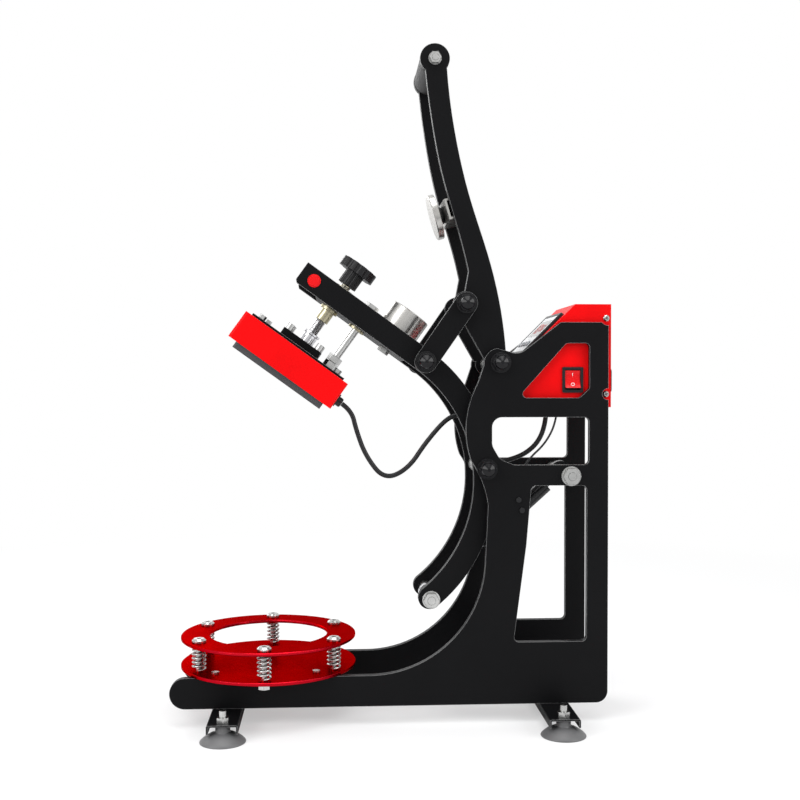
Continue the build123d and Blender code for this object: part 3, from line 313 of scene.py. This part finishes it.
def metal(
    name, colour, rough, edge=None, edge_width=0.9 * MM, depth=0.01 * MM, rounding=0.35 * MM,
    rim_tint=None,
):
    """Bare or plated metal, with cloudy gloss, and an edge colour that paints shade into edges and
    creases when dark and a highlight on rims when light.
    """
    material, tree, shader = start_material(name)
    fine = noise(tree, 900.0, 3.0)
    broad = noise(tree, 60.0, 2.0)
    tone = two_tone(tree, spread(tree, broad, 0.0, 1.0), scaled(colour, 0.82), scaled(colour, 1.1))
    # A dark edge colour is painted shade in edges and creases; a light one is a painted highlight
    # on rims.
    if edge:
        tone = blend_colours(tree, painted_light_edge_mask(tree, edge_width), tone, edge)
    tree.links.new(tone, shader.inputs["Base Color"])
    shader.inputs["Metallic"].default_value = 1.0
    if rim_tint:
        shader.inputs["Specular Tint"].default_value = (*rim_tint, 1)
    tree.links.new(spread(tree, fine, rough - 0.05, rough + 0.07), shader.inputs["Roughness"])
    relief(tree, shader, fine, depth, rounding)
    return material


def glossy_window(name, colour):
    """A smoked plastic window over a display."""
    material, tree, shader = start_material(name)
    haze = noise(tree, 300.0, 2.0)
    tree.links.new(
        two_tone(tree, haze, scaled(colour, 0.7), scaled(colour, 1.3)), shader.inputs["Base Color"]
    )
    shader.inputs["Roughness"].default_value = 0.08
    shader.inputs["Coat Weight"].default_value = 0.5
    return material


# Painted highlight: a grey laid along the black powder coat's edges in place of edge-lit shine.
painted_edge_highlight = (0.3, 0.3, 0.3)
# Painted shade: a near-black laid into metal edges and creases so that hexagons and washers show
# outlined.
painted_edge_shade = (0.07, 0.07, 0.07)
materials = {
    # The powder coat's edges carry the painted highlight.
    "black_powder_coat": coating(
        "black_powder_coat", (0.004, 0.004, 0.0045), 1100.0, 0.14 * MM, 0.42, 0.9 * MM, 0.0, 0.08,
        painted_edge_highlight,
    ),
    # Zinc, brass and nickel carry painted shade in their edges and creases.
    "zinc_steel": metal("zinc_steel", (0.5, 0.5, 0.49), 0.24, painted_edge_shade),
    "chrome_screw": metal("chrome_screw", (0.6, 0.6, 0.61), 0.16),
    "black_cap_nut": coating(
        "black_cap_nut", (0.004, 0.004, 0.005), 500.0, 0.01 * MM, 0.18, 0.7 * MM, 0.0, 0.22
    ),
    # The red ring's edge colour (0.62, 0.02, 0.03) is a painted highlight on its rims.
    "red_gloss": metal(
        "red_gloss", (0.4, 0.004, 0.012), 0.24, (0.62, 0.02, 0.03), 0.9 * MM, 0.003 * MM,
        0.6 * MM, (0.6, 0.02, 0.03),
    ),
    "spring_steel": metal("spring_steel", (0.42, 0.42, 0.41), 0.24),
    "red_sheet": coating(
        "red_sheet", (0.76, 0.0008, 0.002), 500.0, 0.012 * MM, 0.42, 0.8 * MM, 0.0, 0.1
    ),
    "cup_rubber": coating("cup_rubber", (0.12, 0.12, 0.122), 700.0, 0.03 * MM, 0.46, 0.5 * MM),
    "black_plastic": coating(
        "black_plastic", (0.006, 0.006, 0.007), 900.0, 0.04 * MM, 0.36, 0.5 * MM, 0.0, 0.3
    ),
    "panel_face": coating("panel_face", (0.72, 0.73, 0.74), 700.0, 0.01 * MM, 0.34, 0.2 * MM),
    "display_window": glossy_window("display_window", (0.02, 0.006, 0.006)),
    "circuit_board": coating("circuit_board", (0.03, 0.14, 0.05), 300.0, 0.02 * MM, 0.4),
    "cable_jacket": coating(
        "cable_jacket", (0.007, 0.007, 0.008), 600.0, 0.03 * MM, 0.36, 0.4 * MM, 0.0, 0.3
    ),
    "brass": metal("brass", (0.46, 0.42, 0.29), 0.26, painted_edge_shade),
    "nickel": metal("nickel", (0.5, 0.49, 0.47), 0.27, painted_edge_shade),
    "red_plastic": coating(
        "red_plastic", (0.66, 0.004, 0.006), 500.0, 0.01 * MM, 0.26, 0.4 * MM, 0.0, 0.2
    ),
    "grip_rubber": coating("grip_rubber", (0.02, 0.02, 0.021), 800.0, 0.15 * MM, 0.72, 1.0 * MM),
    "cushion_rubber": coating("cushion_rubber", (0.02, 0.02, 0.02), 700.0, 0.05 * MM, 0.7),
    "strut_black": coating(
        "strut_black", (0.006, 0.006, 0.007), 500.0, 0.01 * MM, 0.26, 0.4 * MM, 0.0, 0.3
    ),
    "rod_chrome": metal("rod_chrome", (0.6, 0.6, 0.62), 0.12),
    "cast_platen": coating("cast_platen", (0.055, 0.055, 0.058), 420.0, 0.12 * MM, 0.55, 0.8 * MM),
    "insulation": coating("insulation", (0.6, 0.57, 0.5), 420.0, 0.3 * MM, 0.9),
    "key_plastic": coating("key_plastic", (0.3, 0.31, 0.33), 700.0, 0.02 * MM, 0.4, 0.4 * MM),
}
mark_white = coating("mark_white", (0.8, 0.8, 0.78), 900.0, 0.01 * MM, 0.5)
digit_red = coating("digit_red", (0.75, 0.03, 0.02), 900.0, 0.01 * MM, 0.4)
# Painted shade: a near-black for the screw heads' cross recesses.
painted_recess_shade = coating("painted_recess_shade", (0.03, 0.03, 0.03), 900.0, 0.01 * MM, 0.5)


def paint(piece, slot_name):
    """Gives a piece the finish of a material slot."""
    piece.data.materials.clear()
    piece.data.materials.append(materials[slot_name])


for subpart in record["subparts"]:
    paint(nodes[subpart["node"]], subpart["material_slot"])
for cable in cables:
    paint(cable, "cable_jacket")


# Pieces made here
screw_radius = 6.5
foot_places = [(x, y) for x in (-0.12, 0.12) for y in (-0.199, 0.194)]


def add_piece(name, mesh, slot_name, body, finish=None, smooth=True):
    """A mesh made into a piece that moves with a body, in a slot's finish or its own."""
    piece = bpy.data.objects.new(name, mesh)
    scene.collection.objects.link(piece)
    for polygon in mesh.polygons:
        polygon.use_smooth = smooth
    paint(piece, slot_name)
    if finish:
        mesh.materials.clear()
        mesh.materials.append(finish)
    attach(piece, body)
    return piece


def axis_frame(centre, axis):
    """A matrix that puts +Z on an axis at a point, both given in metres."""
    turn = Vector(axis).to_track_quat("Z", "Y").to_matrix().to_4x4()
    return Matrix.Translation(Vector(centre)) @ turn


def grid_mesh(name, rings, place, closed=False):
    """A skin over rings of points; both ends are capped unless the rings close on themselves."""
    count = len(rings[0])
    points = [place @ point for ring in rings for point in ring]
    faces = []
    rows = len(rings) if closed else len(rings) - 1
    for row in range(rows):
        below = row * count
        above = (row + 1) % len(rings) * count
        for step in range(count):
            after = (step + 1) % count
            faces.append((below + step, below + after, above + after, above + step))
    if not closed:
        faces.append(tuple(reversed(range(count))))
        top = (len(rings) - 1) * count
        faces.append(tuple(range(top, top + count)))
    mesh = bpy.data.meshes.new(name)
    mesh.from_pydata(points, [], faces)
    mesh.update()
    return mesh


def ring_points(radius, height, count):
    """Points round a circle at a height."""
    turns = [2 * math.pi * step / count for step in range(count)]
    return [Vector((radius * math.cos(t), radius * math.sin(t), height)) for t in turns]


def lathed(name, profile, centre, axis, closed=False, segments=72):
    """A turned form from (radius, height) pairs in millimetres."""
    rings = [ring_points(radius * MM, height * MM, segments) for radius, height in profile]
    return grid_mesh(name, rings, axis_frame(centre, axis), closed)


def threaded_rod(name, centre, axis, radius, start, stop, pitch, depth, segments=36):
    """A rod with a cut screw thread, all sizes in millimetres."""
    rows_per_turn = 8
    rows = int((stop - start) / pitch * rows_per_turn)
    rings = []
    for row in range(rows + 1):
        height = start + (stop - start) * row / rows
        ring = []
        for step in range(segments):
            share = step / segments
            phase = (height / pitch - share) % 1.0
            cut = depth * abs(2 * phase - 1)
            if row in (0, rows):
                cut = depth
            turn = 2 * math.pi * share
            reach = (radius - cut) * MM
            ring.append(Vector((reach * math.cos(turn), reach * math.sin(turn), height * MM)))
        rings.append(ring)
    return grid_mesh(name, rings, axis_frame(centre, axis))


def joined(name, meshes):
    """Several meshes joined into one."""
    points = []
    faces = []
    for mesh in meshes:
        base = len(points)
        points += [vertex.co.copy() for vertex in mesh.vertices]
        faces += [tuple(base + index for index in polygon.vertices) for polygon in mesh.polygons]
        bpy.data.meshes.remove(mesh)
    whole = bpy.data.meshes.new(name)
    whole.from_pydata(points, [], faces)
    whole.update()
    return whole


def bar_mesh(name, place, size, bevel=0.0):
    """A bar centred on a matrix, with softened edges; size in millimetres."""
    form = bmesh.new()
    bmesh.ops.create_cube(form, size=1.0)
    bmesh.ops.scale(form, vec=[side * MM for side in size], verts=form.verts)
    if bevel:
        bmesh.ops.bevel(
            form, geom=list(form.edges), offset=bevel * MM, segments=2, affect="EDGES"
        )
    bmesh.ops.transform(form, matrix=place, verts=form.verts)
    mesh = bpy.data.meshes.new(name)
    form.to_mesh(mesh)
    form.free()
    return mesh


def add_springs():
    """Six wound springs round the ring's bolts, built at one length and carried by the frame."""
    low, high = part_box("ring_springs")
    disc_low, disc_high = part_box("ball_base_disc")
    centre_y = (disc_low.y + disc_high.y) / 2
    wire = 1.3 * MM
    coil = 7.4 * MM
    bolt_circle = 93.5 * MM
    turns = 5.5
    steps = 22
    data = bpy.data.curves.new("wound_springs", "CURVE")
    data.dimensions = "3D"
    data.bevel_depth = wire
    data.bevel_resolution = 3
    data.use_fill_caps = True
    for place in range(6):
        turn = math.radians(60 * place)
        middle_x = bolt_circle * math.cos(turn)
        middle_y = centre_y + bolt_circle * math.sin(turn)
        spline = data.splines.new("POLY")
        count = int(turns * steps) + 1
        spline.points.add(count - 1)
        for index, point in enumerate(spline.points):
            share = index / (count - 1)
            angle = 2 * math.pi * turns * share
            height = low.z + wire * 1.1 + (high.z - low.z - 2.2 * wire) * share
            point.co = (
                middle_x + coil * math.cos(angle),
                middle_y + coil * math.sin(angle),
                height,
                1.0,
            )
    springs = bpy.data.objects.new("wound_springs", data)
    scene.collection.objects.link(springs)
    springs = as_mesh(springs)
    paint(springs, "spring_steel")
    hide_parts("ring_springs")
    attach(springs, "frame")
    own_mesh(springs)


def add_screw_and_threads():
    """The pressure screw, cut with its thread, and the threads of the foot studs."""
    low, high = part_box("pressure_screw")
    middle = (low + high) / 2
    lean = 2 * screw_radius * MM * square_to_beam.y
    reach = (high.z - low.z - lean) / square_to_beam.z / 2 / MM
    pitch, depth = 2.0, 0.55
    screw = threaded_rod(
        "pressure_screw_thread", middle, square_to_beam, screw_radius, -reach, reach, pitch, depth
    )
    piece = add_piece("pressure_screw_thread", screw, "chrome_screw", "knob", smooth=False)
    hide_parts("pressure_screw")
    stud_radius, nut_top, stud_top = 4.05, 28.6, 35.95
    pitch, depth, segments = 1.25, 0.45, 24
    studs = [
        threaded_rod(
            "stud_thread", (x, y, 0), (0, 0, 1), stud_radius, nut_top, stud_top, pitch, depth,
            segments,
        )
        for x, y in foot_places
    ]
    add_piece("stud_threads", joined("stud_threads", studs), "zinc_steel", "frame", smooth=False)


def add_collar():
    """The bright sleeve round the collar that the screw turns in, measured from its lower end."""
    low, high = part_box("pressure_screw")
    lean = 2 * screw_radius * MM * square_to_beam.y
    reach = (high.z - low.z - lean) / square_to_beam.z / 2
    screw_end = (low + high) / 2 - square_to_beam * reach
    block_top = 8.5
    collar_top = 22.5
    profile = [
        (8.55, block_top + 0.1), (9.3, block_top + 0.1), (9.5, block_top + 0.4),
        (9.5, collar_top - 3.2), (11.0, collar_top - 3.0), (11.2, collar_top - 2.6),
        (11.2, collar_top - 0.3), (10.9, collar_top), (8.55, collar_top),
    ]
    sleeve = lathed("collar_sleeve", profile, screw_end, square_to_beam, closed=True)
    add_piece("collar_sleeve", sleeve, "rod_chrome", "head", smooth=False)


def add_soft_pieces():
    """The foam grip, the keeper's rubber cushion and the suction cups."""
    low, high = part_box("grip_sleeve")
    half = (high.x - low.x) / 2 / MM
    profile = [(12.6, -half), (15.6, -half)]
    for step in range(5):
        turn = math.radians(22.5 * step)
        profile.append((15.7 + 1.7 * math.sin(turn), -half + 1.8 - 1.7 * math.cos(turn)))
    ribs = 16
    for step in range(1, ribs * 2):
        place = -half + 2 + (2 * half - 4) * step / (ribs * 2)
        profile.append((17.42 - 0.12 * (step % 2), place))
    for step in range(5):
        turn = math.radians(90 - 22.5 * step)
        profile.append((15.7 + 1.7 * math.sin(turn), half - 1.8 + 1.7 * math.cos(turn)))
    profile += [(15.6, half), (12.6, half)]
    grip = lathed("foam_grip", profile, (low + high) / 2, (1, 0, 0), closed=True)
    piece = add_piece("foam_grip", grip, "grip_rubber", "handle")
    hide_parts("grip_sleeve")

    keeper_low, keeper_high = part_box("keeper_cushion")
    swing = math.radians(74.0)
    keeper_axis = Vector((0, math.sin(swing), math.cos(swing)))
    profile = [
        (4.1, -3.0), (9.6, -3.0), (10.8, -1.6), (11.0, 0.0), (10.8, 1.6), (9.6, 3.0), (4.1, 3.0),
    ]
    cushion = lathed(
        "keeper_rubber", profile, (keeper_low + keeper_high) / 2, keeper_axis, closed=True
    )
    piece = add_piece("keeper_rubber", cushion, "cushion_rubber", "handle")
    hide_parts("keeper_cushion")

    profile = [
        (3.6, 10.0), (3.6, 5.4), (8.0, 5.2), (13.0, 3.8), (19.0, 1.8), (24.6, 0.05), (26.2, 0.0),
        (26.5, 0.5), (26.3, 1.2), (24.0, 3.6), (20.0, 6.7), (16.0, 9.0), (12.0, 10.6), (9.2, 11.4),
        (8.6, 12.4), (8.5, 13.5), (8.5, 19.4), (8.0, 20.0), (3.6, 20.0),
    ]
    cups = [
        lathed("cup", profile, (x, y, 0), (0, 0, 1), closed=True, segments=64)
        for x, y in foot_places
    ]
    piece = add_piece("moulded_cups", joined("moulded_cups", cups), "cup_rubber", "frame")
    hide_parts("suction_cups")


def add_marks():
    """The switch's plain marks, the display's digits, painted shade in the screw recesses and the
    inlet's blades.
    """
    rocker_low, rocker_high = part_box("rocker_bezel")
    rocker_y = (rocker_low.y + rocker_high.y) / 2
    rocker_z = (rocker_low.z + rocker_high.z) / 2
    axis_x = 56.2 * MM
    throw = math.radians(-10.0)
    face_radius = 22.04
    marks = []
    for height in (-6.0, 6.0):
        slope = math.asin(height / face_radius)
        depth = 2.2 + face_radius * (1 - math.cos(slope)) + 0.06
        local = Matrix.Translation((depth * MM, 0, height * MM)) @ Matrix.Rotation(slope, 4, "Y")
        place = (
            Matrix.Translation((axis_x, rocker_y, rocker_z))
            @ Matrix.Rotation(throw, 4, "Y")
            @ local
        )
        if height > 0:
            marks.append(bar_mesh("mark", place, (0.12, 0.7, 4.2)))
        else:
            rings = []
            for radius, rise in ((2.2, -0.06), (2.2, 0.06), (1.5, 0.06), (1.5, -0.06)):
                rings.append(ring_points(radius * MM, rise * MM, 40))
            facing = place @ Matrix.Rotation(math.radians(90), 4, "Y")
            marks.append(grid_mesh("mark", rings, facing, closed=True))
    whole = joined("switch_marks", marks)
    add_piece("switch_marks", whole, "red_plastic", "rocker", mark_white, False)

    panel_low, panel_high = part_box("controller_window")
    panel = (panel_low + panel_high) / 2
    square = math.sqrt(0.5)
    across = Vector((1, 0, 0))
    up_slope = Vector((0, square, square))
    outward = Vector((0, -square, square))
    turn = Matrix((across, up_slope, outward)).transposed().to_4x4()
    lit = {"0": "abcdef", "1": "bc", "8": "abcdefg", "6": "acdefg"}
    segments = {
        "a": (0, 1, True), "g": (0, 0, True), "d": (0, -1, True),
        "f": (-1, 0.5, False), "b": (1, 0.5, False), "e": (-1, -0.5, False), "c": (1, -0.5, False),
    }
    bars = []
    for digits, first, pitch, tall in (("180", -24.0, 10.0, 15.0), ("060", 9.0, 7.5, 10.5)):
        for index, digit in enumerate(digits):
            for key in lit[digit]:
                side, level, flat = segments[key]
                width = tall * 0.25
                offset = Vector((first + index * pitch + side * width, level * tall / 2, 0.42))
                size = (width * 1.6, 1.1, 0.1) if flat else (1.1, tall * 0.4, 0.1)
                centre = panel + (across * offset.x + up_slope * offset.y + outward * offset.z) * MM
                bars.append(bar_mesh("bar", Matrix.Translation(centre) @ turn, size))
    whole = joined("display_digits", bars)
    add_piece("display_digits", whole, "display_window", "frame", digit_red, False)

    # Thin dark crosses on the screw heads are painted shade standing for their recesses.
    screw_face = 60.6 * MM
    crosses = []
    for y, z in ((0.258, 0.488), (0.2575, 0.396)):
        for side in (1, -1):
            for turn_by in (0.4, 0.4 + math.pi / 2):
                centre = Matrix.Translation((side * screw_face, y, z))
                place = centre @ Matrix.Rotation(turn_by, 4, "X")
                crosses.append(bar_mesh("slot", place, (0.12, 0.9, 4.0)))
    whole = joined("screw_recess_shade", crosses)
    add_piece("screw_recess_shade", whole, "zinc_steel", "frame", painted_recess_shade, False)

    blades = []
    for x, z in ((-7.0, -2.0), (0.0, 3.0), (7.0, -2.0)):
        place = Matrix.Translation(((25.0 + x) * MM, 0.257, (412.5 + z) * MM))
        blades.append(bar_mesh("blade", place, (2.0, 12.0, 4.0), 0.3))
    add_piece("inlet_blades", joined("inlet_blades", blades), "zinc_steel", "frame", None, False)


add_springs()
add_screw_and_threads()
add_collar()
add_soft_pieces()
add_marks()


# Stage and light
def add_stage():
    """A pale floor that keeps the press's shadow and fades to white away from it."""
    size = 8.0
    mesh = bpy.data.meshes.new("floor")
    corners = [(-size, -size, 0), (size, -size, 0), (size, size, 0), (-size, size, 0)]
    mesh.from_pydata(corners, [], [(0, 1, 2, 3)])
    floor = bpy.data.objects.new("floor", mesh)
    floor.location.z = -0.0002
    scene.collection.objects.link(floor)
    material = bpy.data.materials.new("pale_floor")
    material.use_nodes = True
    tree = material.node_tree
    tree.nodes.clear()
    output = tree.nodes.new("ShaderNodeOutputMaterial")
    diffuse = tree.nodes.new("ShaderNodeBsdfDiffuse")
    diffuse.inputs["Color"].default_value = (0.9, 0.9, 0.9, 1)
    glow = tree.nodes.new("ShaderNodeEmission")
    glow.inputs["Strength"].default_value = 1.0
    path = tree.nodes.new("ShaderNodeLightPath")
    place = tree.nodes.new("ShaderNodeTexCoord")
    distance = tree.nodes.new("ShaderNodeVectorMath")
    distance.operation = "LENGTH"
    fade = tree.nodes.new("ShaderNodeMapRange")
    fade.inputs["From Min"].default_value = 0.3
    fade.inputs["From Max"].default_value = 1.6
    fade.inputs["To Min"].default_value = 0.45
    fade.inputs["To Max"].default_value = 1.0
    seen = tree.nodes.new("ShaderNodeMath")
    seen.operation = "MULTIPLY"
    mix = tree.nodes.new("ShaderNodeMixShader")
    tree.links.new(place.outputs["Object"], distance.inputs[0])
    tree.links.new(distance.outputs["Value"], fade.inputs["Value"])
    tree.links.new(fade.outputs["Result"], seen.inputs[0])
    tree.links.new(path.outputs["Is Camera Ray"], seen.inputs[1])
    tree.links.new(seen.outputs["Value"], mix.inputs["Fac"])
    tree.links.new(diffuse.outputs["BSDF"], mix.inputs[1])
    tree.links.new(glow.outputs["Emission"], mix.inputs[2])
    tree.links.new(mix.outputs["Shader"], output.inputs["Surface"])
    mesh.materials.append(material)


def add_world():
    """A plain soft level of light, and white wherever the world is seen, mirrored or refracted."""
    world = bpy.data.worlds.new("studio")
    scene.world = world
    world.use_nodes = True
    tree = world.node_tree
    tree.nodes.clear()
    output = tree.nodes.new("ShaderNodeOutputWorld")
    lighting = tree.nodes.new("ShaderNodeBackground")
    lighting.inputs["Color"].default_value = (0.95, 0.97, 1.0, 1)
    lighting.inputs["Strength"].default_value = 0.45
    white = tree.nodes.new("ShaderNodeBackground")
    white.inputs["Color"].default_value = (1, 1, 1, 1)
    white.inputs["Strength"].default_value = 1.0
    path = tree.nodes.new("ShaderNodeLightPath")
    seen = path.outputs["Is Camera Ray"]
    for ray in ("Is Glossy Ray", "Is Transmission Ray"):
        either = tree.nodes.new("ShaderNodeMath")
        either.operation = "MAXIMUM"
        tree.links.new(seen, either.inputs[0])
        tree.links.new(path.outputs[ray], either.inputs[1])
        seen = either.outputs["Value"]
    mix = tree.nodes.new("ShaderNodeMixShader")
    tree.links.new(seen, mix.inputs["Fac"])
    tree.links.new(lighting.outputs["Background"], mix.inputs[1])
    tree.links.new(white.outputs["Background"], mix.inputs[2])
    tree.links.new(mix.outputs["Shader"], output.inputs["Surface"])


def add_softbox(name, place, target, size, power):
    """A square area light that points at a target."""
    data = bpy.data.lights.new(name, "AREA")
    data.energy = power
    data.shape = "SQUARE"
    data.size = size
    light = bpy.data.objects.new(name, data)
    light.location = place
    light.rotation_euler = (Vector(target) - Vector(place)).to_track_quat("-Z", "Y").to_euler()
    scene.collection.objects.link(light)


add_stage()
add_world()
press_middle = (0.0, 0.0, 0.4)
add_softbox("overhead", (0.3, 0.0, 2.2), press_middle, 1.6, 30.0)
add_softbox("front_side", (1.3, -1.6, 1.2), press_middle, 1.2, 24.0)
add_softbox("rear_side", (1.1, 1.7, 1.1), press_middle, 1.2, 20.0)
add_softbox("far_side", (-1.6, -0.9, 1.3), press_middle, 1.2, 16.0)

scene.view_settings.view_transform = "Standard"
